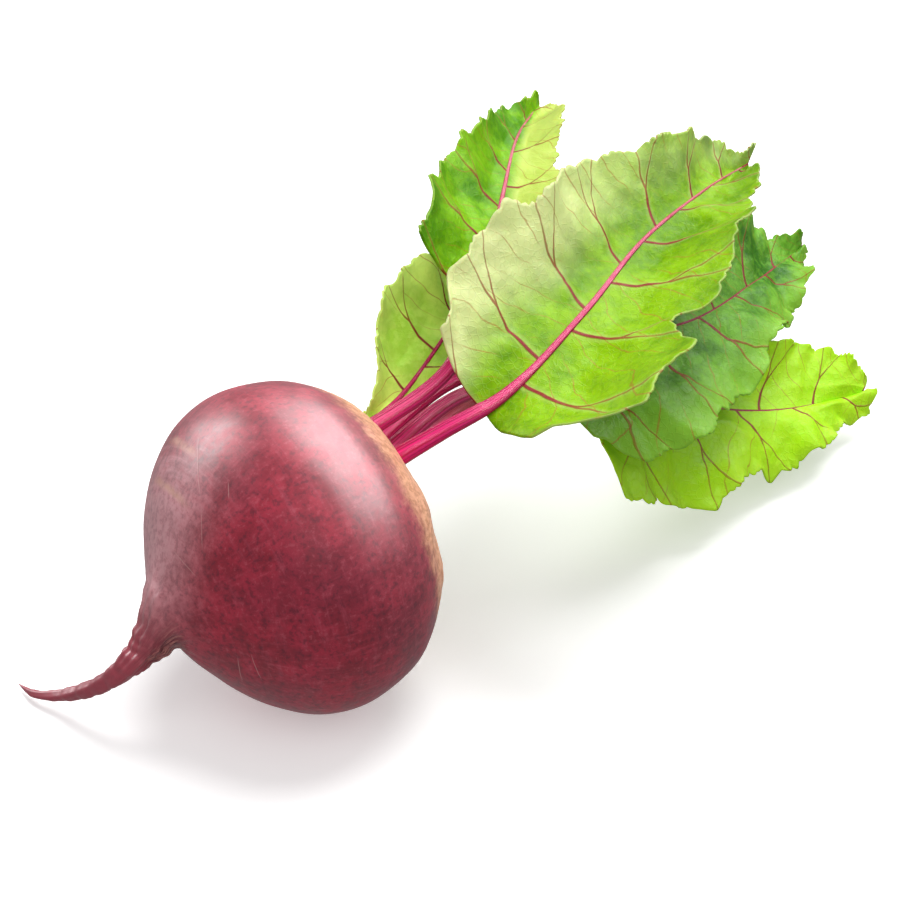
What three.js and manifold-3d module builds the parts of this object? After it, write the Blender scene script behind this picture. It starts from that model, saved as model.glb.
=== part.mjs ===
// A beetroot as pulled, lying on one side: a globe-shaped root that ends in a thin tail, five leaves, each a
// crimson stalk with a crinkled green blade, and a sixth bare stalk. Millimetres, +Z up. The origin is in the
// small flat spot that the root rests on. Seen from above, +X runs along the root's axis to the crown.
import * as THREE from "three";
import { mergeVertices } from "three/addons/utils/BufferGeometryUtils.js";
import Module from "manifold-3d";

const wasm = await Module();
wasm.setup();

// The root: its widest radius, where its widest section lies, and how far its axis rises towards the crown.
const ROOT_RADIUS = 38.7;
const ROOT_CENTRE = new THREE.Vector3(-1.6, 0.3, 37.4);
const AXIS_RISE = THREE.MathUtils.degToRad(8.5);
const CROWN_TO_CENTRE = 30.5;
// [distance from the crown's top along the root, radius as a share of the widest]
const ROOT_PROFILE = [
  [0, 0], [0.4, 0.14], [1.3, 0.27], [2.6, 0.38], [4.6, 0.52], [8, 0.69], [13, 0.83], [20, 0.945], [30.5, 1],
  [40, 0.945], [48, 0.8], [54, 0.625], [58.5, 0.435], [62, 0.27], [65.5, 0.16], [70.5, 0.104], [77.5, 0.074],
  [88, 0.052], [101, 0.036], [109.5, 0.025], [117, 0],
];
const ROOT_SIDES = 44;
const RINGS_PER_SPAN = 2;
// The root's middle line is straight for the first length. The tail then bends down to the surface and ends
// lying on it, through these points. Its rings turn from the axis to the tail's own direction between two
// distances.
const STRAIGHT_LENGTH = 56;
const TAIL_LINE = [
  [-33.2, 0.5, 30.6], [-37.3, 1, 25.2], [-42.4, 2.6, 19.8], [-46.5, 9.1, 12.3], [-51, 19.6, 4.8],
  [-54.4, 26.6, 2.2], [-55.2, 34, 0.9],
];
const RINGS_TURN = [59, 72];
// The root's relief, each height a share of its radius: the globe is a little lopsided, the shoulder is
// uneven where the leaves break out, and the neck and tail are ridged and wrinkled.
const GLOBE_END = 66;
const OVAL = { turn: 0.5, relief: 0.011 };
const LOPSIDED = { turnPerMillimetre: 1 / 16, relief: 0.008 };
const SHOULDER = { middle: 5, spread: 4, bumps: 7, sway: 1.3, relief: 0.035 };
const NECK = { start: 60, end: 72, ridges: 4, turnPerMillimetre: 1 / 6, relief: 0.07 };
const WRINKLES = { perMillimetre: 1.1, relief: 0.05 };

// The blades and stalks. A stalk's heights and its groove's depth and width are shares of its own width.
const BLADE_THICKNESS = 0.8;
const MARGIN_THINNING = 0.2;
const BLADE_ROWS = 42;
const BLADE_COLUMNS = 5;
const VEIN_BEND = 0.3;
const FOLD_CURVE = 1.8;
const LOBES = { share: 0.04, count: 4.3, offset: 0.31 };
const TEETH = { height: 0.6, count: BLADE_ROWS / 3 };
const WAVE_OFFSET = 0.23;
const PUCKER_HEIGHT = 0.9;
const TIP_ROUNDING = { share: 0.92, power: 8 };
const STALK_SIDES = 10;
const STALK_STEPS = 26;
const STALK_HEIGHT = { foot: 0.82, tip: 0.7 };
const GROOVE = { depth: 0.16, width: 0.22, end: 0.2 };
const RIB_REACH = 0.97;
const RIB_TIP_WIDTH = 0.7;
const RIB_LIFT = 0.25;
const SEAT_GAP = 0.3;

// Each leaf: which face of the blade the rib stands on, the stalk's width at the crown and where the blade
// starts, and the share of the midrib at which that is. Then how far the blade's face leans to its right, how
// steeply its left and right halves rise and how far the side veins turn from the midrib at base and tip, all
// in degrees, and the side veins in each half. Then the points that the midrib passes through from the crown
// to the tip, the height and number of the waves along a margin and where they begin, and the half-widths left
// and right, from base to tip.
const LEAVES = [
  {
    name: "leaf_1", rib: 1, stalk: [4.4, 2.2], start: 0.14,
    lean: 20, fold: [30, 25], sweep: [100, 45], veins: 6,
    midrib: [[19, 17, 45.5], [42, 25, 49], [62.5, 35.5, 55.5], [79.5, 50, 54.5], [94, 64.5, 52]],
    ruffle: 2, waves: 2.6, phase: 0.1,
    left: [4, 5.5, 14, 19.5, 19.5, 18.5, 15, 15, 15, 14, 12, 10, 9],
    right: [3, 4, 5.5, 8, 11, 13, 13, 13, 12, 11, 10, 9, 8],
  },
  {
    name: "leaf_2", rib: 1, stalk: [5, 3], start: 0.36,
    lean: 20, fold: [32, 32], sweep: [100, 45], veins: 6,
    midrib: [
      [19, 8, 52.5], [46.5, 11, 61], [66.5, 25.5, 75], [85.5, 47, 79.5], [105, 69.5, 81], [123.5, 87, 78],
    ],
    ruffle: 1.8, waves: 2.2, phase: 0.45,
    left: [21, 21.5, 21.5, 18.5, 17, 14.5, 12, 11, 9.5, 7.5, 5.5, 4, 3],
    right: [8, 10, 12, 13, 13.5, 13.5, 12.5, 11.5, 11.5, 10, 9, 9.5, 8],
  },
  {
    name: "leaf_3", rib: 1, stalk: [5.6, 3.6], start: 0.17,
    lean: 20, fold: [30, 32], sweep: [100, 40], veins: 7,
    midrib: [
      [20.5, -4.5, 52], [47, -10, 65], [77, 0.5, 73], [105.5, 17, 76], [131.5, 28.5, 76.5], [158, 44.5, 70],
    ],
    ruffle: 2.8, waves: 2.8, phase: 0.7,
    left: [20, 31, 33, 26, 27, 23.5, 22, 19.5, 15.5, 16, 14.5, 8, 5],
    right: [18, 34, 33, 24.5, 28, 26.5, 22, 19.5, 16.5, 12.5, 9, 8, 6],
  },
  {
    name: "leaf_4", rib: -1, stalk: [5, 3], start: 0.34,
    lean: 25, fold: [25, -5], sweep: [100, 45], veins: 6,
    midrib: [
      [20.5, 10, 48.5], [52, 16.5, 56.5], [85.5, 15.5, 55], [118.5, 15.5, 50.5], [148.5, 28.5, 46],
      [177, 45, 40],
    ],
    ruffle: 2.8, waves: 3.4, phase: 0.3,
    left: [12, 15, 18, 20, 22, 22, 22, 20, 18, 14.5, 10, 6, 4],
    right: [26, 31, 31, 27, 21.5, 18.5, 16, 14.5, 13.5, 12, 9, 8.5, 6],
  },
  {
    name: "leaf_5", rib: -1, stalk: [5, 3], start: 0.42,
    lean: 25, fold: [25, -15], sweep: [100, 45], veins: 5,
    midrib: [
      [20.5, 2.5, 51], [52.5, 11, 56], [83.5, 14, 44.5], [113.5, 13.5, 30], [145.5, 13, 18],
      [177.5, 17.5, 10],
    ],
    ruffle: 2, waves: 3, phase: 0.9,
    left: [14, 18, 21, 22, 22, 21, 19.5, 18.5, 19, 18, 14, 11.5, 11],
    right: [27, 28, 27.5, 26, 23, 19, 16, 15.5, 13, 10, 8.5, 9.5, 7],
  },
];
// A sixth stalk, which ends bare behind the third leaf.
const BARE_STALK = {
  name: "leaf_6", rib: 1, stalk: [4.2, 2.8], start: 1, lean: 20,
  midrib: [[23.5, 6, 44], [35, 11, 43.5], [47, 14.5, 45], [59, 16, 48]],
};

// Catmull-Rom through evenly numbered values, read at a share from 0 to 1.
function along(values, share) {
  const place = THREE.MathUtils.clamp(share, 0, 1) * (values.length - 1);
  const i = Math.min(Math.floor(place), values.length - 2);
  const f = place - i;
  const at = (k) => values[THREE.MathUtils.clamp(k, 0, values.length - 1)];
  const [a, b, c, d] = [at(i - 1), at(i), at(i + 1), at(i + 2)];
  return 0.5 * (2 * b + (c - a) * f + (2 * a - 5 * b + 4 * c - d) * f * f + (3 * b - a - 3 * c + d) * f ** 3);
}

// A manifold solid from vertices and triangles.
function solidFrom(points, triangles) {
  const flat = new Float32Array(points.flatMap((p) => [p.x, p.y, p.z]));
  const geometry = new THREE.BufferGeometry().setAttribute("position", new THREE.BufferAttribute(flat, 3));
  geometry.setIndex(triangles.flat());
  const merged = mergeVertices(geometry, 1e-4);
  const triVerts = new Uint32Array(merged.index.array);
  return new wasm.Manifold(
    new wasm.Mesh({ numProp: 3, vertProperties: merged.attributes.position.array, triVerts }),
  );
}

// A closed skin over rings of equal size, with a point at each end.
function skin(rings, first, last) {
  const sides = rings[0].length;
  const points = [...rings.flat(), first, last];
  const triangles = [];
  for (let i = 0; i < rings.length - 1; i++)
    for (let j = 0; j < sides; j++) {
      const k = (j + 1) % sides;
      const [a, b, c, d] = [i * sides + j, i * sides + k, (i + 1) * sides + k, (i + 1) * sides + j];
      triangles.push([a, b, c], [a, c, d]);
    }
  const end = (rings.length - 1) * sides;
  for (let j = 0; j < sides; j++) {
    const k = (j + 1) % sides;
    triangles.push([points.length - 2, k, j], [points.length - 1, end + j, end + k]);
  }
  return solidFrom(points, triangles);
}

// The largest body of a cut solid, as a named mesh.
function meshOf(name, solid, look) {
  const bodies = solid.decompose().sort((a, b) => b.volume() - a.volume());
  const cut = bodies[0].getMesh();
  const geometry = new THREE.BufferGeometry();
  geometry.setAttribute("position", new THREE.BufferAttribute(new Float32Array(cut.vertProperties), 3));
  geometry.setIndex(new THREE.BufferAttribute(new Uint32Array(cut.triVerts), 1));
  geometry.computeVertexNormals();
  const mesh = new THREE.Mesh(geometry, new THREE.MeshStandardMaterial(look));
  mesh.name = name;
  return mesh;
}

const axis = new THREE.Vector3(Math.cos(AXIS_RISE), 0, Math.sin(AXIS_RISE));
const axisPoint = (distance) => ROOT_CENTRE.clone().addScaledVector(axis, CROWN_TO_CENTRE - distance);

const tail = new THREE.CatmullRomCurve3([
  axisPoint(STRAIGHT_LENGTH),
  ...TAIL_LINE.map((p) => new THREE.Vector3(...p)),
]);

// The root's middle line, and the direction that its rings face, at a distance from the crown's top.
function rootLine(distance) {
  const total = ROOT_PROFILE.at(-1)[0];
  const share = THREE.MathUtils.clamp((distance - STRAIGHT_LENGTH) / (total - STRAIGHT_LENGTH), 0, 1);
  const turn = THREE.MathUtils.smoothstep(distance, ...RINGS_TURN);
  return {
    point: share > 0 ? tail.getPointAt(share) : axisPoint(distance),
    heading: axis.clone().negate().lerp(tail.getTangentAt(share), turn).normalize(),
  };
}

// How far the root's surface stands from a plain turned shape, as a share of its radius.
function rootRelief(distance, angle) {
  const globe = Math.sin(Math.PI * THREE.MathUtils.clamp(distance / GLOBE_END, 0, 1));
  const shoulder = Math.exp(-(((distance - SHOULDER.middle) / SHOULDER.spread) ** 2));
  const neck = THREE.MathUtils.smoothstep(distance, NECK.start, NECK.end);
  const oval = OVAL.relief * Math.sin(2 * angle + OVAL.turn);
  const lopsided = LOPSIDED.relief * Math.sin(3 * angle + LOPSIDED.turnPerMillimetre * distance);
  const bumps = SHOULDER.relief * Math.sin(SHOULDER.bumps * angle + SHOULDER.sway * Math.sin(2 * angle));
  const ridges = NECK.relief * Math.sin(NECK.ridges * angle + NECK.turnPerMillimetre * distance);
  const wrinkles = WRINKLES.relief * Math.sin(WRINKLES.perMillimetre * distance);
  return globe * (oval + lopsided) + shoulder * bumps + neck * (ridges + wrinkles);
}

// The root, its skin grown outwards by extra millimetres.
function root(extra = 0) {
  const distances = ROOT_PROFILE.map((p) => p[0]);
  const radii = ROOT_PROFILE.map((p) => p[1]);
  const count = (ROOT_PROFILE.length - 1) * RINGS_PER_SPAN;
  const rings = [];
  let side = new THREE.Vector3(0, 1, 0);
  for (let i = 1; i < count; i++) {
    const distance = along(distances, i / count);
    const { point, heading } = rootLine(distance);
    side = side.clone().addScaledVector(heading, -side.dot(heading)).normalize();
    const up = new THREE.Vector3().crossVectors(heading, side);
    const radius = ROOT_RADIUS * along(radii, i / count) + extra;
    rings.push(
      Array.from({ length: ROOT_SIDES }, (_, j) => {
        const angle = (2 * Math.PI * j) / ROOT_SIDES;
        const r = radius * (1 + rootRelief(distance, angle));
        const across = point.clone().addScaledVector(side, r * Math.cos(angle));
        return across.addScaledVector(up, r * Math.sin(angle));
      }),
    );
  }
  return skin(rings, axisPoint(-extra), tail.getPoint(1).addScaledVector(tail.getTangent(1), extra));
}

// The midrib's point and directions at a share of its length: heading, face (out of the blade) and right.
function midribAt(leaf, share) {
  const line = new THREE.CatmullRomCurve3(leaf.midrib.map((p) => new THREE.Vector3(...p)));
  const point = line.getPoint(share);
  const heading = line.getTangent(share);
  const level = new THREE.Vector3(0, 0, 1).addScaledVector(heading, -heading.z).normalize();
  const face = level.applyAxisAngle(heading, THREE.MathUtils.degToRad(leaf.lean));
  const right = new THREE.Vector3().crossVectors(heading, face);
  return { point, heading, face, right };
}

const turns = (share) => Math.sin(2 * Math.PI * share);

// A point in the middle of a blade's thickness: t runs from base to tip, and v from the left margin at -1,
// over the midrib at 0, to the right margin at 1. Rows of equal t follow the side veins, and the blade puckers
// between them.
function bladePoint(leaf, t, v) {
  const { point, heading, face, right } = midribAt(leaf, leaf.start + (1 - leaf.start) * t);
  const side = Math.sign(v) || 1;
  const out = Math.abs(v);
  const sweep = THREE.MathUtils.degToRad(THREE.MathUtils.lerp(leaf.sweep[0], leaf.sweep[1], t));
  const fold = THREE.MathUtils.degToRad(leaf.fold[side < 0 ? 0 : 1]);
  const lobes = 1 + LOBES.share * out * turns(LOBES.count * t + leaf.phase + LOBES.offset * side);
  const tooth = TEETH.height * out ** 2 * Math.cos(2 * Math.PI * TEETH.count * t);
  const rounding = Math.sqrt(1 - TIP_ROUNDING.share * t ** TIP_ROUNDING.power);
  const width = along(side < 0 ? leaf.left : leaf.right, t) * rounding * lobes + tooth;
  const wave = leaf.ruffle * out ** 2 * turns(leaf.waves * t + leaf.phase + WAVE_OFFSET * side);
  const swell = Math.min(1, 3 * out) * (1 - 0.5 * out);
  const pucker = PUCKER_HEIGHT * swell * Math.abs(Math.sin(Math.PI * leaf.veins * t));
  return point
    .addScaledVector(heading, width * (out * Math.cos(sweep) + VEIN_BEND * out ** 2))
    .addScaledVector(right, side * width * out * Math.sin(sweep) * Math.cos(fold))
    .addScaledVector(face, width * out ** FOLD_CURVE * Math.sin(fold) + wave - leaf.rib * pucker);
}

// A blade as a closed sheet, thinner towards its margins. Both faces are split into triangles alike.
function blade(leaf, extra = 0) {
  const columns = 2 * BLADE_COLUMNS + 1;
  const upper = [];
  const lower = [];
  const step = 1e-3;
  for (let i = 0; i <= BLADE_ROWS; i++)
    for (let j = 0; j < columns; j++) {
      const t = i / BLADE_ROWS;
      const v = (j - BLADE_COLUMNS) / BLADE_COLUMNS;
      const at = (dt, dv) => bladePoint(leaf, t + dt, v + dv);
      const alongRow = at(0, step).sub(at(0, -step));
      const alongRib = at(step, 0).sub(at(-step, 0));
      const normal = alongRow.cross(alongRib).normalize();
      const half = (BLADE_THICKNESS * (1 - MARGIN_THINNING * Math.abs(v))) / 2 + extra;
      upper.push(at(0, 0).addScaledVector(normal, half));
      lower.push(at(0, 0).addScaledVector(normal, -half));
    }
  const triangles = [];
  const below = upper.length;
  for (let i = 0; i < BLADE_ROWS; i++)
    for (let j = 0; j < columns - 1; j++) {
      const a = i * columns + j;
      const [b, c, d] = [a + 1, a + columns + 1, a + columns];
      triangles.push([a, b, c], [a, c, d]);
      triangles.push([below + a, below + c, below + b], [below + a, below + d, below + c]);
    }
  const rim = [];
  for (let j = 0; j < columns; j++) rim.push(j);
  for (let i = 1; i <= BLADE_ROWS; i++) rim.push(i * columns + columns - 1);
  for (let j = columns - 2; j >= 0; j--) rim.push(BLADE_ROWS * columns + j);
  for (let i = BLADE_ROWS - 1; i > 0; i--) rim.push(i * columns);
  rim.forEach((a, k) => {
    const b = rim[(k + 1) % rim.length];
    triangles.push([a, below + b, b], [a, below + a, below + b]);
  });
  return solidFrom([...upper, ...lower], triangles);
}

// A stalk's width at a share of its length: from the crown to the blade, and then as the midrib to the tip.
function stalkWidth(leaf, share, onBlade) {
  const [foot, neck] = leaf.stalk;
  if (share < leaf.start) return THREE.MathUtils.lerp(foot, neck, Math.sqrt(share / leaf.start));
  return THREE.MathUtils.lerp(neck, RIB_TIP_WIDTH, Math.sqrt(onBlade));
}

// A stalk and its midrib: broad and grooved at the crown, then a rib against one face of the blade, thinning
// out towards the tip.
function stalk(leaf) {
  const middles = [];
  const rings = [];
  for (let i = 0; i <= STALK_STEPS; i++) {
    const share = (RIB_REACH * i) / STALK_STEPS;
    const { point, face, right } = midribAt(leaf, share);
    const onBlade = share < leaf.start ? 0 : (share - leaf.start) / (1 - leaf.start);
    const width = stalkWidth(leaf, share, onBlade);
    const height = width * THREE.MathUtils.lerp(STALK_HEIGHT.foot, STALK_HEIGHT.tip, onBlade);
    const groove = GROOVE.depth * width * (1 - THREE.MathUtils.smoothstep(onBlade, 0, GROOVE.end));
    const lift = height / 2 + BLADE_THICKNESS / 2 + SEAT_GAP + RIB_LIFT;
    const middle = point.addScaledVector(face, lift * leaf.rib);
    middles.push(middle);
    rings.push(
      Array.from({ length: STALK_SIDES }, (_, j) => {
        const angle = (2 * Math.PI * j) / STALK_SIDES;
        const x = -(width / 2) * Math.cos(angle);
        const dip = Math.sin(angle) > 0 ? groove * Math.exp(-((x / (GROOVE.width * width)) ** 2)) : 0;
        const y = (height / 2) * Math.sin(angle) - dip;
        return middle.clone().addScaledVector(right, x).addScaledVector(face, y);
      }),
    );
  }
  return skin(rings, middles[0], middles.at(-1));
}

// Everything below the surface that the beetroot rests on, to cut the root's flat spot.
const FLOOR_BLOCK = { side: 400, depth: 40, offset: 60 };
const floorShape = new THREE.BoxGeometry(FLOOR_BLOCK.side, FLOOR_BLOCK.side, FLOOR_BLOCK.depth);
floorShape.translate(FLOOR_BLOCK.offset, 0, -FLOOR_BLOCK.depth / 2);
const floorMesh = mergeVertices(floorShape.deleteAttribute("normal").deleteAttribute("uv"));
const floor = new wasm.Manifold(
  new wasm.Mesh({
    numProp: 3,
    vertProperties: floorMesh.attributes.position.array,
    triVerts: new Uint32Array(floorMesh.index.array),
  }),
);

const ROOT_LOOK = { color: 0x6e1f33, roughness: 0.5, metalness: 0 };
const STALK_LOOK = { color: 0x9c1f4d, roughness: 0.4, metalness: 0 };
const BLADE_LOOK = { color: 0x6fae1e, roughness: 0.55, metalness: 0 };

const beetroot = new THREE.Group();
beetroot.add(meshOf("root", root().subtract(floor), ROOT_LOOK));
const grownRoot = root(SEAT_GAP);
for (const leaf of LEAVES) {
  const rib = stalk(leaf).subtract(grownRoot).subtract(blade(leaf, SEAT_GAP));
  beetroot.add(meshOf(leaf.name + "_stalk", rib, STALK_LOOK));
  beetroot.add(meshOf(leaf.name + "_blade", blade(leaf), BLADE_LOOK));
}
beetroot.add(meshOf(BARE_STALK.name + "_stalk", stalk(BARE_STALK).subtract(grownRoot), STALK_LOOK));

export default beetroot;
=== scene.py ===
import math

import bmesh
import bpy
from mathutils import Matrix, Quaternion, Vector, noise


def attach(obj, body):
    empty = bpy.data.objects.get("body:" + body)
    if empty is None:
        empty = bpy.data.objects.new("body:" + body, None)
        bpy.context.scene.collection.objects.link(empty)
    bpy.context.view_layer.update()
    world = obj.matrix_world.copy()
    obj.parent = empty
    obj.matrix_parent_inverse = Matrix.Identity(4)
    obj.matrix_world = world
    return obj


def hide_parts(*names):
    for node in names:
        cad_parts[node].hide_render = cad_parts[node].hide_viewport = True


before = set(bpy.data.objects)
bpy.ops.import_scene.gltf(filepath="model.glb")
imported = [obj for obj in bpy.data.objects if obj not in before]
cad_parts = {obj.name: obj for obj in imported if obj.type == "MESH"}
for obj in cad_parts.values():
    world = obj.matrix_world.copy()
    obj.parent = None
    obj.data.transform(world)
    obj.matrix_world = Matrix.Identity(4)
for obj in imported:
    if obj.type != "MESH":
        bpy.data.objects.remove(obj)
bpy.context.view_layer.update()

# The beetroot is worked out in millimetres, and its meshes are scaled to metres once they are made.
MM = 0.001

# The root: its widest radius, where its widest section lies, and how far its axis rises towards the crown.
ROOT_RADIUS = 38.7
ROOT_CENTRE = Vector((-1.6, 0.3, 37.4))
AXIS_RISE = math.radians(8.5)
CROWN_TO_CENTRE = 30.5
# (distance from the crown's top along the root, radius as a share of the widest)
ROOT_PROFILE = [
    (0, 0), (0.4, 0.14), (1.3, 0.27), (2.6, 0.38), (4.6, 0.52), (8, 0.69), (13, 0.83), (20, 0.945),
    (30.5, 1), (40, 0.945), (48, 0.8), (54, 0.625), (58.5, 0.435), (62, 0.27), (65.5, 0.16),
    (70.5, 0.104), (77.5, 0.074), (88, 0.052), (101, 0.036), (109.5, 0.025), (117, 0),
]
ROOT_LENGTH = ROOT_PROFILE[-1][0]
STRAIGHT_LENGTH = 56
TAIL_LINE = [
    (-33.2, 0.5, 30.6), (-37.3, 1, 25.2), (-42.4, 2.6, 19.8), (-46.5, 9.1, 12.3), (-51, 19.6, 4.8),
    (-54.4, 26.6, 2.2), (-55.2, 34, 0.9),
]
RINGS_TURN = (59, 72)
ROOT_SIDES = 310
ROOT_RINGS = 300

# The root's relief, each height a share of its radius
GLOBE_END = 66
OVAL_RELIEF = 0.011
LOPSIDED_RELIEF = 0.008
SHOULDER = {"middle": 5, "spread": 4, "bumps": 7, "relief": 0.035}
NECK = {"start": 60, "end": 72, "ridges": 4, "relief": 0.07}
WRINKLES = {"per_millimetre": 1.1, "relief": 0.05}

# The skin's finer relief, each height in millimetres, and where it starts or ends along the root
DENTS = {"relief": 0.18, "size": 13}
CORK = {"fades": (6, 14), "grains": 0.3, "cracks": 0.35}
TWISTS = {"start": (59, 64), "end": (70, 80), "strands": 13, "relief": 0.22, "cracks": 0.3, "rings": 0.1}
TAIL_RINGS = {"start": (64, 74), "relief": 0.08}

# The leaves
BLADE_THICKNESS = 0.5
BLADE_ROWS = 260
BLADE_COLUMNS = 90
VEIN_BEND = 0.3
FOLD_CURVE = 1.8
LOBES = {"share": 0.04, "count": 4.3, "offset": 0.31}
TEETH = {"height": 0.35, "count": 14}
FINE_TEETH = {"height": 1.3, "count": 38}
WAVE_OFFSET = 0.23
PUCKER_HEIGHT = 1.2
RAGGED = {"share": 0.17, "size": 1.3}
FRILL = {"height": 0.8, "waves": 3.7}
# (height, size and seed of each layer of the crinkled tissue)
CRINKLES = [(2.4, 13, 0), (0.9, 5, 5), (0.16, 2, 9)]
TIP_ROUNDING = {"share": 0.92, "power": 8}
VEIN_OFFSET = 0.4
STALK_RINGS = 200
STALK_SIDES = 32
STALK_HEIGHT = {"foot": 0.82, "tip": 0.7}
GROOVE = {"depth": 0.16, "width": 0.22, "end": 0.2}
FLUTES = {"depth": 0.04, "count": 8}
RIB_REACH = 0.97
RIB_TIP_WIDTH = 0.6
RIB_SHARE = 0.72
STALK_LIFT = 0.95

# Each leaf as it is grown, and then its greens: deep and bright in patches, and a pale tone for the net, the vein
# halos, the margin line and a painted sheen that makes the blade paler towards one margin, with the places across
# the blade where the painted sheen starts and is full, and how far up the blade it goes.
LEAVES = [
    {
        "name": "leaf_1", "rib": 1, "stalk": (4.4, 2.2), "start": 0.14, "lean": 20, "fold": (30, 25),
        "sweep": (100, 45), "veins": 6, "ruffle": 2, "waves": 2.6, "phase": 0.1,
        "midrib": [(19, 17, 45.5), (42, 25, 49), (62.5, 35.5, 55.5), (79.5, 50, 54.5), (94, 64.5, 52)],
        "left": [4, 5.5, 14, 19.5, 19.5, 18.5, 15, 15, 15, 14, 12, 10, 9],
        "right": [3, 4, 5.5, 8, 11, 13, 13, 13, 12, 11, 10, 9, 8],
        "deep": (0.44, 0.76, 0.07), "bright": (0.7, 0.96, 0.17), "pale_and_sheen": (0.76, 0.96, 0.24),
        "sheen_from": (-0.6, -1.2), "sheen_until": 2,
    },
    {
        "name": "leaf_2", "rib": 1, "stalk": (5, 3), "start": 0.36, "lean": 20, "fold": (32, 32),
        "sweep": (100, 45), "veins": 6, "ruffle": 1.8, "waves": 2.2, "phase": 0.45,
        "midrib": [
            (19, 8, 52.5), (46.5, 11, 61), (66.5, 25.5, 75),
            (85.5, 47, 79.5), (105, 69.5, 81), (123.5, 87, 78),
        ],
        "left": [21, 21.5, 21.5, 18.5, 17, 14.5, 12, 11, 9.5, 7.5, 5.5, 4, 3],
        "right": [8, 10, 12, 13, 13.5, 13.5, 12.5, 11.5, 11.5, 10, 9, 9.5, 8],
        "deep": (0.08, 0.28, 0.002), "bright": (0.23, 0.54, 0.004), "pale_and_sheen": (0.6, 0.72, 0.14),
        "sheen_from": (0.0, 0.35), "sheen_until": 2,
    },
    {
        "name": "leaf_3", "rib": 1, "stalk": (5.6, 3.6), "start": 0.17, "lean": 20, "fold": (30, 32),
        "sweep": (100, 40), "veins": 7, "ruffle": 2.8, "waves": 2.8, "phase": 0.7,
        "midrib": [
            (20.5, -4.5, 52), (47, -10, 65), (77, 0.5, 73),
            (105.5, 17, 76), (131.5, 28.5, 76.5), (158, 44.5, 70),
        ],
        "left": [20, 31, 33, 26, 27, 23.5, 22, 19.5, 15.5, 16, 14.5, 8, 5],
        "right": [18, 34, 33, 24.5, 28, 26.5, 22, 19.5, 16.5, 12.5, 9, 8, 6],
        "deep": (0.12, 0.29, 0.001), "bright": (0.27, 0.52, 0.003), "pale_and_sheen": (0.84, 0.88, 0.42),
        "sheen_from": (-0.2, -0.8), "sheen_until": 0.42,
    },
    {
        "name": "leaf_4", "rib": -1, "stalk": (5, 3), "start": 0.34, "lean": 25, "fold": (25, -5),
        "sweep": (100, 45), "veins": 6, "ruffle": 2.8, "waves": 3.4, "phase": 0.3,
        "midrib": [
            (20.5, 10, 48.5), (52, 16.5, 56.5), (85.5, 15.5, 55),
            (118.5, 15.5, 50.5), (148.5, 28.5, 46), (177, 45, 40),
        ],
        "left": [12, 15, 18, 20, 22, 22, 22, 20, 18, 14.5, 10, 6, 4],
        "right": [26, 31, 31, 27, 21.5, 18.5, 16, 14.5, 13.5, 12, 9, 8.5, 6],
        "deep": (0.03, 0.15, 0.003), "bright": (0.19, 0.48, 0.035), "pale_and_sheen": (0.28, 0.58, 0.05),
        "sheen_from": (0.4, 1.0), "sheen_until": 2,
    },
    {
        "name": "leaf_5", "rib": -1, "stalk": (5, 3), "start": 0.42, "lean": 25, "fold": (25, -15),
        "sweep": (100, 45), "veins": 5, "ruffle": 2, "waves": 3, "phase": 0.9,
        "midrib": [
            (20.5, 2.5, 51), (52.5, 11, 56), (83.5, 14, 44.5),
            (113.5, 13.5, 30), (145.5, 13, 18), (177.5, 17.5, 10),
        ],
        "left": [14, 18, 21, 22, 22, 21, 19.5, 18.5, 19, 18, 14, 11.5, 11],
        "right": [27, 28, 27.5, 26, 23, 19, 16, 15.5, 13, 10, 8.5, 9.5, 7],
        "deep": (0.4, 0.78, 0.006), "bright": (0.46, 0.82, 0.02), "pale_and_sheen": (0.5, 0.82, 0.05),
        "sheen_from": (0.7, 1.3), "sheen_until": 2,
    },
]
# A sixth stalk, which ends bare behind the third leaf
BARE_STALK = {
    "name": "leaf_6", "rib": 1, "stalk": (4.2, 2.8), "start": 1, "lean": 20,
    "midrib": [(23.5, 6, 44), (35, 11, 43.5), (47, 14.5, 45), (59, 16, 48)],
}

# Marks on the root's skin. Each lies in a plane through three points, from the first point to the second, and has
# a width: two tan scars that run round the root, and then fine scratches, whose third point is the root's middle.
SCARS = [
    ((-18.6, 23.9, 59.4), (-21.7, 1, 66.7), (-21.4, 10.6, 65.2), 1.5),
    ((-24.9, 20.3, 53), (-27.7, -4, 58.5), (-27.4, 7, 58.2), 1.3),
]
SCRATCHES = [
    ((-18.3, 9.2, 68.7), (-26.3, -5.3, 60.6), ROOT_CENTRE, 0.22),
    ((-26.3, -5.3, 60.6), (-29.3, -10.4, 52), ROOT_CENTRE, 0.18),
    ((-21.2, -8, 66.6), (-22.8, -11, 63.7), ROOT_CENTRE, 0.2),
    ((-31.6, 0.2, 49.2), (-30.7, -11.1, 46.2), ROOT_CENTRE, 0.2),
    ((-27, -19.4, 30), (-24.2, -16.4, 19.9), ROOT_CENTRE, 0.2),
    ((-25.5, -22.5, 32.4), (-22.2, -21.9, 22.4), ROOT_CENTRE, 0.18),
]

# Colours
SKIN = {
    "dark": (0.24, 0.008, 0.024), "bright": (0.42, 0.016, 0.045), "dull": (0.2, 0.018, 0.042),
    "streak": (0.48, 0.05, 0.085), "ring": (0.42, 0.06, 0.1), "pit": (0.1, 0.006, 0.02),
    "speck": (0.56, 0.11, 0.15), "dust_and_sheen": (0.68, 0.35, 0.38), "tail": (0.36, 0.06, 0.085),
    "fibre_dark": (0.07, 0.006, 0.01), "fibre_light": (0.42, 0.16, 0.14),
    "cork_dark": (0.6, 0.24, 0.12), "cork_light": (0.9, 0.46, 0.27),
    "scar": (0.62, 0.31, 0.22), "scratch": (0.6, 0.3, 0.29),
}
STALK = {
    "deep": (0.36, 0.001, 0.04), "bright": (0.74, 0.012, 0.17), "light_line": (0.85, 0.045, 0.26),
    "dark_line": (0.17, 0.0005, 0.02), "fleck": (0.7, 0.08, 0.2), "outer": (0.5, 0.13, 0.1),
}
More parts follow.
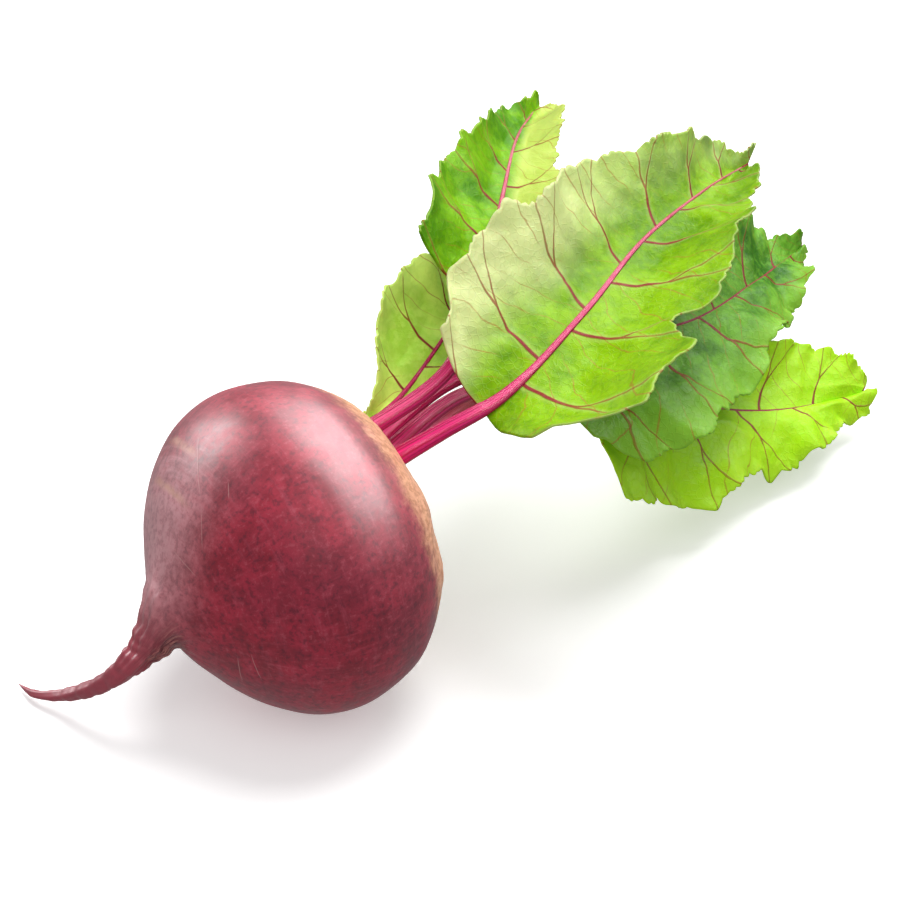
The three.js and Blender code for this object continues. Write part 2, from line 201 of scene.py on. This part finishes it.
VEIN = {
    "twig": (0.4, 0.16, 0.03), "inner": (0.27, 0.008, 0.03), "outer": (0.32, 0.06, 0.02),
    "midrib": (0.34, 0.02, 0.05),
}

# The camera looks from the tail's side, with the globe low at the left.
VIEW_AZIMUTH = math.radians(-33)
VIEW_ELEVATION = math.radians(32)
VIEW_DISTANCE = 700
VIEW_SHIFT = (35.3, 21.8)
LENS = 126
FLOOR_SIZE = 40


# Shapes

def clamp(x, low=0.0, high=1.0):
    return max(low, min(high, x))


def smooth(x, low, high):
    x = clamp((x - low) / (high - low))
    return x * x * (3 - 2 * x)


def mix(a, b, share):
    return a + (b - a) * share


def along(values, share):
    """A smooth curve through evenly numbered values, read at a share from 0 to 1."""
    place = clamp(share) * (len(values) - 1)
    i = min(int(place), len(values) - 2)
    f = place - i
    a, b, c, d = (values[min(max(k, 0), len(values) - 1)] for k in range(i - 1, i + 3))
    bend = (2 * a - 5 * b + 4 * c - d) * f * f + (3 * b - a - 3 * c + d) * f ** 3
    return 0.5 * (2 * b + (c - a) * f + bend)


def through(knots, share):
    """A smooth line through points, kept tight where they lie close together."""
    place = clamp(share) * (len(knots) - 1)
    i = min(int(place), len(knots) - 2)
    f = place - i
    b, c = knots[i], knots[i + 1]
    a = knots[i - 1] if i > 0 else b * 2 - c
    d = knots[i + 2] if i + 2 < len(knots) else c * 2 - b
    ab, bc, cd = ((q - p).length ** 0.5 for p, q in ((a, b), (b, c), (c, d)))
    leave = ((b - a) / ab - (c - a) / (ab + bc) + (c - b) / bc) * bc
    arrive = ((c - b) / bc - (d - b) / (bc + cd) + (d - c) / cd) * bc
    square = b * -3 + c * 3 - leave * 2 - arrive
    cube = b * 2 - c * 2 + leave + arrive
    return b + leave * f + square * f * f + cube * f ** 3


def evenly(curve, count, steps=3000):
    """The shares at which points on a curve are evenly spaced along it."""
    points = [curve(i / steps) for i in range(steps + 1)]
    lengths = [0.0]
    for a, b in zip(points, points[1:]):
        lengths.append(lengths[-1] + (b - a).length)
    shares = []
    k = 0
    for i in range(count + 1):
        target = lengths[-1] * i / count
        while k < steps - 1 and lengths[k + 1] < target:
            k += 1
        shares.append((k + (target - lengths[k]) / (lengths[k + 1] - lengths[k])) / steps)
    return shares


def grain(point, size, seed=0.0):
    """Smooth random relief from -1 to 1, in lumps of about this many millimetres."""
    return noise.noise(point / size + Vector((seed, 2.3 * seed, -seed)))


def grid(columns, rows):
    """A square grid from -1 to 1, with a UV map of the same layout from 0 to 1."""
    bm = bmesh.new()
    bm.loops.layers.uv.new("UVMap")
    bmesh.ops.create_grid(bm, x_segments=columns, y_segments=rows, size=1, calc_uvs=True)
    return bm


def close_tube(bm):
    """Joins a rolled-up grid along its seam and closes its ends."""
    bmesh.ops.remove_doubles(bm, verts=bm.verts, dist=0.001)
    bmesh.ops.holes_fill(bm, edges=[e for e in bm.edges if e.is_boundary], sides=0)
    bmesh.ops.recalc_face_normals(bm, faces=bm.faces)


def finished_piece(bm, name, node, finish):
    """Turns a mesh in millimetres into a piece that stands for a node of the frame."""
    bmesh.ops.scale(bm, vec=(MM, MM, MM), verts=bm.verts)
    for face in bm.faces:
        face.smooth = True
    mesh = bpy.data.meshes.new(name)
    bm.to_mesh(mesh)
    bm.free()
    mesh.materials.append(finish)
    piece = bpy.data.objects.new(name, mesh)
    bpy.context.scene.collection.objects.link(piece)
    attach(piece, "root")
    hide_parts(node)
    return piece


# The root

AXIS = Vector((math.cos(AXIS_RISE), 0, math.sin(AXIS_RISE)))


def axis_point(distance):
    return ROOT_CENTRE + AXIS * (CROWN_TO_CENTRE - distance)


TAIL_KNOTS = [axis_point(STRAIGHT_LENGTH)] + [Vector(p) for p in TAIL_LINE]


def tail_point(share):
    return through(TAIL_KNOTS, share)


TAIL_STEPS = 400
TAIL_SHARES = evenly(tail_point, TAIL_STEPS)


def tail_at(share):
    """A point on the tail's middle line at a share of its length."""
    place = clamp(share) * TAIL_STEPS
    i = min(int(place), TAIL_STEPS - 1)
    return tail_point(mix(TAIL_SHARES[i], TAIL_SHARES[i + 1], place - i))


def root_line(distance):
    """The root's middle line and the direction that its rings face, at a distance from the crown's top."""
    share = clamp((distance - STRAIGHT_LENGTH) / (ROOT_LENGTH - STRAIGHT_LENGTH))
    step = 0.003
    tangent = (tail_at(min(1, share + step)) - tail_at(max(0, share - step))).normalized()
    heading = (-AXIS).lerp(tangent, smooth(distance, *RINGS_TURN)).normalized()
    return (tail_at(share) if share > 0 else axis_point(distance)), heading


def profile_point(share):
    distance = along([p[0] for p in ROOT_PROFILE], share)
    radius = along([p[1] for p in ROOT_PROFILE], share)
    return Vector((distance, max(0, radius) * ROOT_RADIUS))


def root_rings():
    """The root's rings from crown to tip: each ring's distance, radius, middle, side and up."""
    rings = []
    side = Vector((0, 1, 0))
    for share in evenly(profile_point, ROOT_RINGS):
        distance, radius = profile_point(share)
        point, heading = root_line(distance)
        side = (side - heading * side.dot(heading)).normalized()
        rings.append((distance, radius, point, side, heading.cross(side)))
    return rings


def root_relief(distance, angle):
    """The large relief of the root, as a share of its radius."""
    globe = math.sin(math.pi * clamp(distance / GLOBE_END))
    shoulder = math.exp(-(((distance - SHOULDER["middle"]) / SHOULDER["spread"]) ** 2))
    neck = smooth(distance, NECK["start"], NECK["end"])
    lopsided = OVAL_RELIEF * math.sin(2 * angle + 0.5)
    lopsided += LOPSIDED_RELIEF * math.sin(3 * angle + distance / 16)
    bumps = SHOULDER["relief"] * math.sin(SHOULDER["bumps"] * angle + 1.3 * math.sin(2 * angle))
    ridges = NECK["relief"] * math.sin(NECK["ridges"] * angle + distance / 6)
    wrinkles = WRINKLES["relief"] * math.sin(WRINKLES["per_millimetre"] * distance)
    return globe * lopsided + shoulder * bumps + neck * (ridges + wrinkles)


def skin_relief(point, distance, angle):
    """The finer relief in millimetres: soft dents, a corky crown, a twisted neck and a ringed tail."""
    crown = 1 - smooth(distance, *CORK["fades"])
    neck = smooth(distance, *TWISTS["start"]) * (1 - smooth(distance, *TWISTS["end"]))
    tail = smooth(distance, *TAIL_RINGS["start"])
    wobble = grain(point, 5, 3)
    rings = math.sin(2.3 * distance + 3 * wobble)
    twist = math.sin(TWISTS["strands"] * angle + 0.6 * distance + 3 * wobble)
    corky = CORK["grains"] * grain(point, 2.4, 2) - CORK["cracks"] * abs(grain(point, 4.5, 4))
    twisted = TWISTS["relief"] * twist - TWISTS["cracks"] * abs(grain(point, 3, 6)) + TWISTS["rings"] * rings
    dents = DENTS["relief"] * grain(point, DENTS["size"], 1)
    return dents + crown * corky + neck * twisted + tail * TAIL_RINGS["relief"] * rings


def make_root():
    bm = grid(ROOT_SIDES, ROOT_RINGS)
    place = bm.verts.layers.float_vector.new("skin_place")
    rings = root_rings()
    for vertex in bm.verts:
        distance, radius, middle, side, up = rings[round((vertex.co.y + 1) / 2 * ROOT_RINGS)]
        angle = math.pi * (vertex.co.x + 1)
        way = side * math.cos(angle) + up * math.sin(angle)
        fine = skin_relief(middle + way * radius, distance, angle) * min(1, radius / 3)
        point = middle + way * (radius * (1 + root_relief(distance, angle)) + fine)
        point.z = max(point.z, 0)
        vertex.co = point
        vertex[place] = (math.cos(angle), math.sin(angle), distance)
    close_tube(bm)
    finished_piece(bm, "beet_root", "root", beet_skin())


# The leaves

def midrib_at(leaf, share, step=1e-4):
    """The midrib's point at a share of its length, and there its heading, face (out of the blade) and right."""
    knots = [Vector(p) for p in leaf["midrib"]]
    heading = (through(knots, min(1, share + step)) - through(knots, max(0, share - step))).normalized()
    level = (Vector((0, 0, 1)) - heading * heading.z).normalized()
    face = Quaternion(heading, math.radians(leaf["lean"])) @ level
    return through(knots, share), heading, face, heading.cross(face)


def turns(share):
    return math.sin(2 * math.pi * share)


def tooth_at(leaf, t, side):
    """The margin's coarse swing, its ragged lobes as a share of the width, and its uneven small teeth."""
    coarse = TEETH["height"] * math.cos(2 * math.pi * TEETH["count"] * t)
    drift = 1.3 * math.sin(17 * t + 5 * leaf["phase"] + side) + 0.6 * math.sin(53 * t + side)
    notch = abs(math.sin(math.pi * (FINE_TEETH["count"] * t + drift))) ** 0.7
    place = Vector((20 * t, 3 * side, 9 * leaf["phase"]))
    size = 0.6 + 0.8 * grain(place, 0.7)
    ragged = RAGGED["share"] * grain(place, RAGGED["size"]) * (1 - t ** 2)
    return coarse, ragged, FINE_TEETH["height"] * size * (notch - 0.6)


def blade_point(leaf, t, v, rib):
    """A point of the blade: t runs from base to tip and v from margin to margin, over the midrib at 0."""
    point, heading, face, right = rib
    side = -1 if v < 0 else 1
    out = abs(v)
    phase = leaf["phase"]
    sweep = math.radians(mix(*leaf["sweep"], t))
    fold = math.radians(leaf["fold"][0 if side < 0 else 1])
    lobes = 1 + LOBES["share"] * out * turns(LOBES["count"] * t + phase + LOBES["offset"] * side)
    coarse, ragged, fine = tooth_at(leaf, t, side)
    rounding = math.sqrt(1 - TIP_ROUNDING["share"] * t ** TIP_ROUNDING["power"])
    halves = leaf["left" if side < 0 else "right"]
    width = along(halves, t) * rounding * (lobes + ragged * out ** 3) + coarse * out ** 2 + fine * out ** 8
    wave = leaf["ruffle"] * out ** 2 * turns(leaf["waves"] * t + phase + WAVE_OFFSET * side)
    frill = FRILL["height"] * out ** 5 * turns(FRILL["waves"] * leaf["waves"] * t + 2.1 * phase + 0.4 * side)
    vein = leaf["veins"] * t + (VEIN_OFFSET if side > 0 else 0)
    swell = min(1, 3 * out) * (1 - 0.5 * out)
    pucker = PUCKER_HEIGHT * swell * abs(math.sin(math.pi * vein)) ** 0.8
    spot = (
        point
        + heading * (width * (out * math.cos(sweep) + VEIN_BEND * out ** 2))
        + right * (side * width * out * math.sin(sweep) * math.cos(fold))
    )
    crinkle = sum(height * grain(spot, size, phase + seed) for height, size, seed in CRINKLES)
    lift = width * out ** FOLD_CURVE * math.sin(fold) + wave + frill + min(1, 3 * out) * crinkle
    return spot + face * (lift - leaf["rib"] * pucker)


def make_blade(leaf):
    bm = grid(BLADE_COLUMNS, BLADE_ROWS)
    start = leaf["start"]
    ribs = [midrib_at(leaf, start + (1 - start) * i / BLADE_ROWS) for i in range(BLADE_ROWS + 1)]
    for vertex in bm.verts:
        row = round((vertex.co.y + 1) / 2 * BLADE_ROWS)
        vertex.co = blade_point(leaf, row / BLADE_ROWS, vertex.co.x, ribs[row])
    bmesh.ops.recalc_face_normals(bm, faces=bm.faces)
    name = leaf["name"] + "_blade"
    piece = finished_piece(bm, "beet_" + name, name, leaf_green(leaf))
    sheet = piece.modifiers.new("Thickness", "SOLIDIFY")
    sheet.thickness = BLADE_THICKNESS * MM
    sheet.offset = 0


def stalk_section(leaf, share):
    """The stalk's width and height, its groove's depth and how far its middle stands off the blade."""
    foot, neck = leaf["stalk"]
    on_blade = 0
    width = mix(foot, neck, math.sqrt(min(1, share / leaf["start"])))
    if share > leaf["start"]:
        on_blade = (share - leaf["start"]) / (1 - leaf["start"])
        width = mix(neck, RIB_TIP_WIDTH, math.sqrt(on_blade)) * mix(1, RIB_SHARE, smooth(on_blade, 0, 0.15))
    height = width * mix(STALK_HEIGHT["foot"], STALK_HEIGHT["tip"], on_blade)
    groove = GROOVE["depth"] * width * (1 - smooth(on_blade, 0, GROOVE["end"]))
    seated = smooth(share, leaf["start"] - 0.07, leaf["start"] + 0.04)
    lift = mix(height / 2 + STALK_LIFT, 0.3 * height, seated)
    return width, height, groove, lift * leaf["rib"]


def make_stalk(leaf):
    bm = grid(STALK_SIDES, STALK_RINGS)
    place = bm.verts.layers.float_vector.new("stalk_place")
    shares = [RIB_REACH * i / STALK_RINGS for i in range(STALK_RINGS + 1)]
    ribs = [(midrib_at(leaf, share), stalk_section(leaf, share)) for share in shares]
    for vertex in bm.verts:
        row = round((vertex.co.y + 1) / 2 * STALK_RINGS)
        (point, _, face, right), (width, height, groove, lift) = ribs[row]
        angle = math.pi * (vertex.co.x + 1)
        twist = 0.7 * math.sin(5 * shares[row])
        flute = 1 + FLUTES["depth"] * math.cos(FLUTES["count"] * angle + twist)
        across = -(width / 2) * math.cos(angle) * flute
        dip = groove * math.exp(-((across / (GROOVE["width"] * width)) ** 2)) if math.sin(angle) > 0 else 0
        above = (height / 2) * math.sin(angle) * flute - dip
        vertex.co = point + face * (lift + above) + right * across
        vertex[place] = (math.cos(angle), math.sin(angle), shares[row])
    close_tube(bm)
    name = leaf["name"] + "_stalk"
    finished_piece(bm, "beet_" + name, name, stalk_skin(leaf))


# Materials

class Finish:
    """A material being made, with a short word for each kind of node that its pattern needs."""

    def __init__(self, name, **sockets):
        self.material = bpy.data.materials.new(name)
        self.material.use_nodes = True
        self.tree = self.material.node_tree
        self.shader = next(n for n in self.tree.nodes if n.type == "BSDF_PRINCIPLED")
        for socket, value in sockets.items():
            self.put(self.shader.inputs[socket.replace("_", " ")], value)

    def put(self, socket, value):
        if isinstance(value, bpy.types.NodeSocket):
            self.tree.links.new(value, socket)
        elif socket.type == "RGBA" and len(value) == 3:
            socket.default_value = (*value, 1)
        else:
            socket.default_value = value

    def node(self, kind, *values, **settings):
        made = self.tree.nodes.new("ShaderNode" + kind)
        for name, value in settings.items():
            setattr(made, name, value)
        for socket, value in zip([s for s in made.inputs if s.enabled], values):
            self.put(socket, value)
        return made

    def maths(self, operation, *values):
        return self.node("Math", *values, operation=operation).outputs[0]

    def times(self, first, second):
        return self.maths("MULTIPLY", first, second)

    def plus(self, first, second):
        return self.maths("ADD", first, second)

    def minus(self, first, second):
        return self.maths("SUBTRACT", first, second)

    def scaled(self, value, factor, offset):
        """The value times a factor, and then an offset on top."""
        return self.maths("MULTIPLY_ADD", value, factor, offset)

    def step(self, value, low, high, start=0.0, end=1.0):
        """Goes smoothly from start to end while the value goes from low to high."""
        turn = self.node("MapRange", interpolation_type="SMOOTHSTEP")
        names = ("Value", "From Min", "From Max", "To Min", "To Max")
        for name, number in zip(names, (value, low, high, start, end)):
            self.put(turn.inputs[name], number)
        return turn.outputs[0]

    def blend(self, share, a, b):
        made = self.node("Mix", data_type="RGBA")
        for i, value in ((0, share), (6, a), (7, b)):
            self.put(made.inputs[i], value)
        return made.outputs[2]

    def object_place(self):
        return self.node("TexCoord").outputs["Object"]

    def attribute(self, name):
        return self.node("Attribute", attribute_name=name).outputs["Vector"]

    def split(self, vector):
        return self.node("SeparateXYZ", vector).outputs

    def stretch(self, vector, x, y, z):
        return self.node("VectorMath", vector, (x, y, z), operation="MULTIPLY").outputs[0]

    def grain(self, vector, scale, detail=4.0, rough=0.5):
        made = self.node("TexNoise")
        for name, value in (("Vector", vector), ("Scale", scale), ("Detail", detail), ("Roughness", rough)):
            self.put(made.inputs[name], value)
        return made.outputs[0]

    def cells(self, vector, scale):
        """Distance to the nearest edge of a net of cells."""
        made = self.node("TexVoronoi", feature="DISTANCE_TO_EDGE")
        self.put(made.inputs["Vector"], vector)
        self.put(made.inputs["Scale"], scale)
        return made.outputs["Distance"]

    def mark(self, spot, wobble, start, end, between, width):
        """Is 1 along a line on the skin, in the plane through three points, from the first to the second."""
        start, end = Vector(start), Vector(end)
        level = (end - start).cross(Vector(between) - start).normalized()
        across = self.node("VectorMath", spot, level, operation="DOT_PRODUCT").outputs["Value"]
        away = self.maths("ABSOLUTE", self.plus(self.minus(across, level.dot(start) * MM), wobble))
        middle = (start + end) / 2 * MM
        far = self.node("VectorMath", spot, middle, operation="DISTANCE").outputs["Value"]
        reach = (end - start).length / 2 * MM
        ends = self.step(far, 0.35 * reach, reach, 1, 0)
        return self.times(self.step(away, 0, width * MM, 1, 0), ends)

    def most(self, values):
        highest = values[0]
        for value in values[1:]:
            highest = self.maths("MAXIMUM", highest, value)
        return highest

    def relief(self, height, depth, strength=1.0):
        """Lets the light see this height, at a depth in millimetres."""
        made = self.node("Bump")
        self.put(made.inputs["Strength"], strength)
        self.put(made.inputs["Distance"], depth * MM)
        self.put(made.inputs["Height"], height)
        self.put(self.shader.inputs["Normal"], made.outputs[0])

    def colour(self, value):
        self.put(self.shader.inputs["Base Color"], value)

    def roughness(self, value):
        self.put(self.shader.inputs["Roughness"], value)


def mottled_crimson(skin, spot, patchy, fine, streaks, rings):
    broad = skin.grain(spot, 40, 4, 0.55)
    tone = skin.blend(skin.step(patchy, 0.36, 0.66), SKIN["dark"], SKIN["bright"])
    tone = skin.blend(skin.step(broad, 0.42, 0.68, 0, 0.5), tone, SKIN["dull"])
    tone = skin.blend(skin.step(streaks, 0.5, 0.72, 0, 0.4), tone, SKIN["streak"])
    tone = skin.blend(skin.step(rings, 0.5, 0.72, 0, 0.35), tone, SKIN["ring"])
    tone = skin.blend(skin.step(fine, 0.5, 0.34, 0, 0.6), tone, SKIN["pit"])
    return skin.blend(skin.step(fine, 0.54, 0.7, 0, 0.3), tone, SKIN["speck"])


def dust_and_sheen_at(skin, spot, down, fine, rings, wobble):
    """Where dry dust lies, with a painted sheen: lighter towards the neck, high up and on the far side."""
    _, wide, height = skin.split(spot)
    dust_and_sheen = skin.times(skin.step(skin.scaled(rings, 12, down), 49, 62), skin.step(fine, 0.35, 0.6, 0.55, 0.85))
    dust_and_sheen = skin.times(dust_and_sheen, skin.step(height, 0.022, 0.04))
    return skin.times(dust_and_sheen, skin.step(skin.scaled(wobble, 8, wide), -0.016, 0.006))


def torn_skin_at(skin, place, down, fibres):
    """Where the neck's skin is brown and torn: most on its under side, and only faintly on the tail."""
    ragged = skin.scaled(fibres, 5, down)
    brown = skin.times(skin.step(ragged, 65, 68), skin.step(down, 70, 76, 1, 0.12))
    under = skin.split(place)[1]
    return skin.times(brown, skin.step(under, -0.7, 0.1, 0.15, 1))


def cork_at(skin, spot, down):
    """Where the crown is corky, with an uneven edge."""
    edge = skin.plus(down, skin.scaled(skin.grain(spot, 230, 5, 0.7), -9, 4.5))
    return skin.step(edge, 9, 15, 1, 0)


def beet_skin():
    """Mottled and finely streaked crimson, with dust and a painted sheen, a brown neck, a corky crown, scars and
    scratches.
    """
    skin = Finish("beet_skin", Specular_IOR_Level=0.4)
    spot = skin.object_place()
    place = skin.attribute("skin_place")
    down = skin.split(place)[2]
    patchy = skin.grain(spot, 150, 5, 0.65)
    fine = skin.grain(spot, 700, 4, 0.65)
    streaks = skin.grain(skin.stretch(place, 24, 24, 0.1), 1, 5, 0.65)
    rings = skin.grain(skin.stretch(place, 3, 3, 0.9), 1, 4, 0.65)
    fibres = skin.grain(skin.stretch(place, 14, 14, 0.3), 1, 4, 0.7)
    wobble = skin.scaled(patchy, 0.0016, -0.0008)
    brown = torn_skin_at(skin, place, down, fibres)
    scars = skin.most([skin.mark(spot, wobble, *mark) for mark in SCARS])
    scratches = skin.most([skin.mark(spot, skin.times(wobble, 0.4), *mark) for mark in SCRATCHES])
    tone = mottled_crimson(skin, spot, patchy, fine, streaks, rings)
    # Dust with a painted sheen: lighter high up on the far side, towards the neck.
    tone = skin.blend(dust_and_sheen_at(skin, spot, down, fine, rings, wobble), tone, SKIN["dust_and_sheen"])
    tone = skin.blend(skin.step(down, 62, 72, 0, 0.75), tone, SKIN["tail"])
    fibrous = skin.blend(skin.step(fibres, 0.44, 0.6), SKIN["fibre_dark"], SKIN["fibre_light"])
    tone = skin.blend(skin.times(brown, skin.step(fine, 0.35, 0.6, 0.6, 0.95)), tone, fibrous)
    corky = skin.blend(skin.step(fine, 0.36, 0.62), SKIN["cork_dark"], SKIN["cork_light"])
    tone = skin.blend(cork_at(skin, spot, down), tone, corky)
    tone = skin.blend(skin.times(scars, skin.step(patchy, 0.35, 0.6, 0.2, 0.75)), tone, SKIN["scar"])
    tone = skin.blend(skin.times(scratches, 0.5), tone, SKIN["scratch"])
    skin.colour(tone)
    skin.roughness(skin.step(patchy, 0.3, 0.7, 0.38, 0.5))
    bumps = skin.plus(skin.times(fine, 0.5), skin.times(streaks, 0.5))
    bumps = skin.minus(bumps, skin.times(skin.maths("MAXIMUM", scars, scratches), 0.5))
    bumps = skin.plus(bumps, skin.times(skin.times(brown, fibres), 4))
    skin.relief(bumps, 0.1, 0.5)
    return skin.material


def stalk_skin(leaf):
    """Crimson with light and dark stripes along the stalk, browner towards the leaf's tip."""
    skin = Finish(leaf["name"] + "_stalk_skin", Specular_IOR_Level=0.22)
    place = skin.attribute("stalk_place")
    share = skin.split(place)[2]
    streaks = skin.grain(skin.stretch(place, 1.6, 1.6, 1.2), 1, 4, 0.6)
    lines = skin.grain(skin.stretch(place, 6, 6, 1.5), 1, 3, 0.6)
    fine = skin.grain(skin.object_place(), 900, 3, 0.6)
    tone = skin.blend(skin.step(streaks, 0.4, 0.6), STALK["deep"], STALK["bright"])
    tone = skin.blend(skin.step(lines, 0.52, 0.66, 0, 0.6), tone, STALK["light_line"])
    tone = skin.blend(skin.step(lines, 0.48, 0.38, 0, 0.6), tone, STALK["dark_line"])
    tone = skin.blend(skin.step(fine, 0.55, 0.75, 0, 0.2), tone, STALK["fleck"])
    tone = skin.blend(skin.step(share, 0.4, 1.0, 0, 0.75), tone, STALK["outer"])
    skin.colour(tone)
    skin.roughness(skin.step(streaks, 0.3, 0.7, 0.2, 0.3))
    skin.relief(lines, 0.35, 0.6)
    return skin.material


def side_veins(tissue, leaf, t, v, out, wander):
    """How far off the nearest side vein is, in widths of the vein; the veins fork towards the margin."""
    right = tissue.maths("GREATER_THAN", v, 0)
    veins = tissue.scaled(t, leaf["veins"], tissue.times(right, VEIN_OFFSET))
    veins = tissue.plus(veins, tissue.times(wander, tissue.step(out, 0.02, 0.4)))
    fork = tissue.times(tissue.maths("MAXIMUM", tissue.minus(out, 0.52), 0), 0.36)
    apart = tissue.maths("ABSOLUTE", tissue.minus(tissue.maths("PINGPONG", veins, 0.5), fork))
    return tissue.maths("DIVIDE", apart, tissue.step(out, 0, 1, 0.027, 0.01))


def vein_twigs(tissue, leaf, t, out, wander, broad):
    """The thin twigs between the side veins, seen in patches."""
    twigs = tissue.scaled(t, 3.0 * leaf["veins"], tissue.times(out, 3.2))
    twigs = tissue.plus(twigs, tissue.times(wander, 6))
    twig = tissue.step(tissue.maths("PINGPONG", twigs, 0.5), 0.01, 0.035, 1, 0)
    return tissue.times(twig, tissue.step(broad, 0.42, 0.56, 0, 0.6))


def patchy_green(tissue, leaf, t, v, broad, fine, quilt):
    tone = tissue.blend(tissue.step(broad, 0.38, 0.58), leaf["deep"], leaf["bright"])
    tone = tissue.blend(tissue.step(fine, 0.46, 0.66, 0, 0.45), tone, leaf["bright"])
    tone = tissue.blend(tissue.step(fine, 0.5, 0.36, 0, 0.3), tone, leaf["deep"])
    # Painted shade: the green is deeper in the hollows along the edges of the quilted cells.
    tone = tissue.blend(tissue.step(quilt, 0.3, 0.0, 0, 0.2), tone, leaf["deep"])
    # A painted sheen: the blade is paler towards one margin, and on some leaves it fades further up the blade.
    upwards = tissue.step(t, leaf["sheen_until"] - 0.15, leaf["sheen_until"] + 0.2, 0.85, 0.2)
    pale_and_sheen = tissue.times(tissue.step(v, *leaf["sheen_from"]), upwards)
    return tissue.blend(pale_and_sheen, tone, leaf["pale_and_sheen"])


def leaf_green(leaf):
    """Leaf tissue: patchy green with a painted sheen towards one margin and painted shade in its hollows, a faint
    net, crimson side veins that fork, and a midrib line.
    """
    tissue = Finish(leaf["name"] + "_green", Specular_IOR_Level=0.035)
    tissue.put(tissue.shader.inputs["Subsurface Weight"], 0.1)
    tissue.put(tissue.shader.inputs["Subsurface Scale"], 0.001)
    spot = tissue.object_place()
    u, t, _ = tissue.split(tissue.node("UVMap", uv_map="UVMap").outputs[0])
    v = tissue.scaled(u, 2, -1)
    out = tissue.maths("ABSOLUTE", v)
    broad = tissue.grain(spot, 50, 5, 0.55)
    fine = tissue.grain(spot, 450, 4, 0.6)
    wander = tissue.scaled(tissue.grain(spot, 55, 3, 0.5), 0.24, -0.12)
    apart = side_veins(tissue, leaf, t, v, out, wander)
    main = tissue.step(apart, 0.5, 1.3, 1, 0)
    halo = tissue.step(apart, 1, 4.5, 1, 0)
    net = tissue.step(tissue.cells(spot, 620), 0.0, 0.1, 1, 0)
    quilt = tissue.step(tissue.cells(spot, 210), 0.0, 0.3)
    tone = patchy_green(tissue, leaf, t, v, broad, fine, quilt)
    tone = tissue.blend(tissue.times(net, 0.03), tone, leaf["pale_and_sheen"])
    tone = tissue.blend(tissue.times(halo, 0.14), tone, leaf["pale_and_sheen"])
    tone = tissue.blend(tissue.step(out, 0.985, 1, 0, 0.25), tone, leaf["pale_and_sheen"])
    tone = tissue.blend(vein_twigs(tissue, leaf, t, out, wander, broad), tone, VEIN["twig"])
    crimson = tissue.blend(tissue.step(out, 0.15, 0.9), VEIN["inner"], VEIN["outer"])
    tone = tissue.blend(tissue.times(main, tissue.step(out, 0.3, 1.0, 0.95, 0.6)), tone, crimson)
    tone = tissue.blend(tissue.step(out, 0.012, 0.024, 1, 0), tone, VEIN["midrib"])
    tissue.colour(tone)
    tissue.roughness(tissue.step(fine, 0.3, 0.7, 0.36, 0.5))
    height = tissue.scaled(main, 0.8, tissue.times(net, 0.25))
    height = tissue.plus(height, tissue.scaled(fine, 0.4, tissue.times(quilt, 0.4)))
    tissue.relief(height, 0.3, 0.6)
    return tissue.material


# The stage

def make_floor():
    bm = bmesh.new()
    bmesh.ops.create_grid(bm, x_segments=1, y_segments=1, size=FLOOR_SIZE)
    mesh = bpy.data.meshes.new("floor")
    bm.to_mesh(mesh)
    bm.free()
    paper = Finish("white_paper", Base_Color=(0.92, 0.92, 0.92), Roughness=0.9, Specular_IOR_Level=0.0)
    paper.put(paper.shader.inputs["Emission Color"], (1, 1, 1))
    paper.put(paper.shader.inputs["Emission Strength"], 0.32)
    mesh.materials.append(paper.material)
    floor = bpy.data.objects.new("floor", mesh)
    floor.visible_diffuse = False
    floor.visible_glossy = False
    bpy.context.scene.collection.objects.link(floor)


def make_sun(name, towards, strength, spread, gloss_only):
    """A soft light from far away; towards is the direction in which it lies."""
    light = bpy.data.lights.new(name, "SUN")
    light.energy = strength
    light.angle = math.radians(spread)
    sun = bpy.data.objects.new(name, light)
    sun.rotation_euler = Vector(towards).to_track_quat("Z", "Y").to_euler()
    sun.visible_diffuse = not gloss_only
    bpy.context.scene.collection.objects.link(sun)


def make_light():
    make_sun("ceiling", (0.35, 0.15, 0.93), 2.8, 40, False)
    make_sun("front", (-0.4, -0.6, 0.7), 0.8, 60, False)
    make_sun("window_left", (-0.33, 0.85, 0.42), 4.2, 28, True)
    make_sun("panel_far", (0.55, 0.5, 0.67), 3.6, 42, True)
    make_sun("panel_middle", (0.67, 0.1, 0.74), 4.8, 42, True)
    make_sun("panel_near", (0.75, -0.32, 0.58), 6.0, 42, True)
    world = bpy.data.worlds.new("white_tent")
    world.use_nodes = True
    backdrop = world.node_tree.nodes["Background"]
    backdrop.inputs["Color"].default_value = (1, 1, 1, 1)
    backdrop.inputs["Strength"].default_value = 0.42
    bpy.context.scene.world = world
    bpy.context.scene.view_settings.view_transform = "Standard"


def make_camera():
    back = Vector((
        math.sin(VIEW_AZIMUTH) * math.cos(VIEW_ELEVATION),
        -math.cos(VIEW_AZIMUTH) * math.cos(VIEW_ELEVATION),
        math.sin(VIEW_ELEVATION),
    ))
    right = Vector((math.cos(VIEW_AZIMUTH), math.sin(VIEW_AZIMUTH), 0))
    up = back.cross(right)
    camera = bpy.data.objects.new("camera", bpy.data.cameras.new("camera"))
    camera.data.lens = LENS
    camera.data.sensor_width = 36
    place = ROOT_CENTRE + right * VIEW_SHIFT[0] + up * VIEW_SHIFT[1] + back * VIEW_DISTANCE
    turn = Matrix((right, up, back)).transposed().to_4x4()
    camera.matrix_world = Matrix.Translation(place * MM) @ turn
    bpy.context.scene.collection.objects.link(camera)
    bpy.context.scene.camera = camera


make_root()
for leaf in LEAVES:
    make_stalk(leaf)
    make_blade(leaf)
make_stalk(BARE_STALK)
make_floor()
make_light()
make_camera()
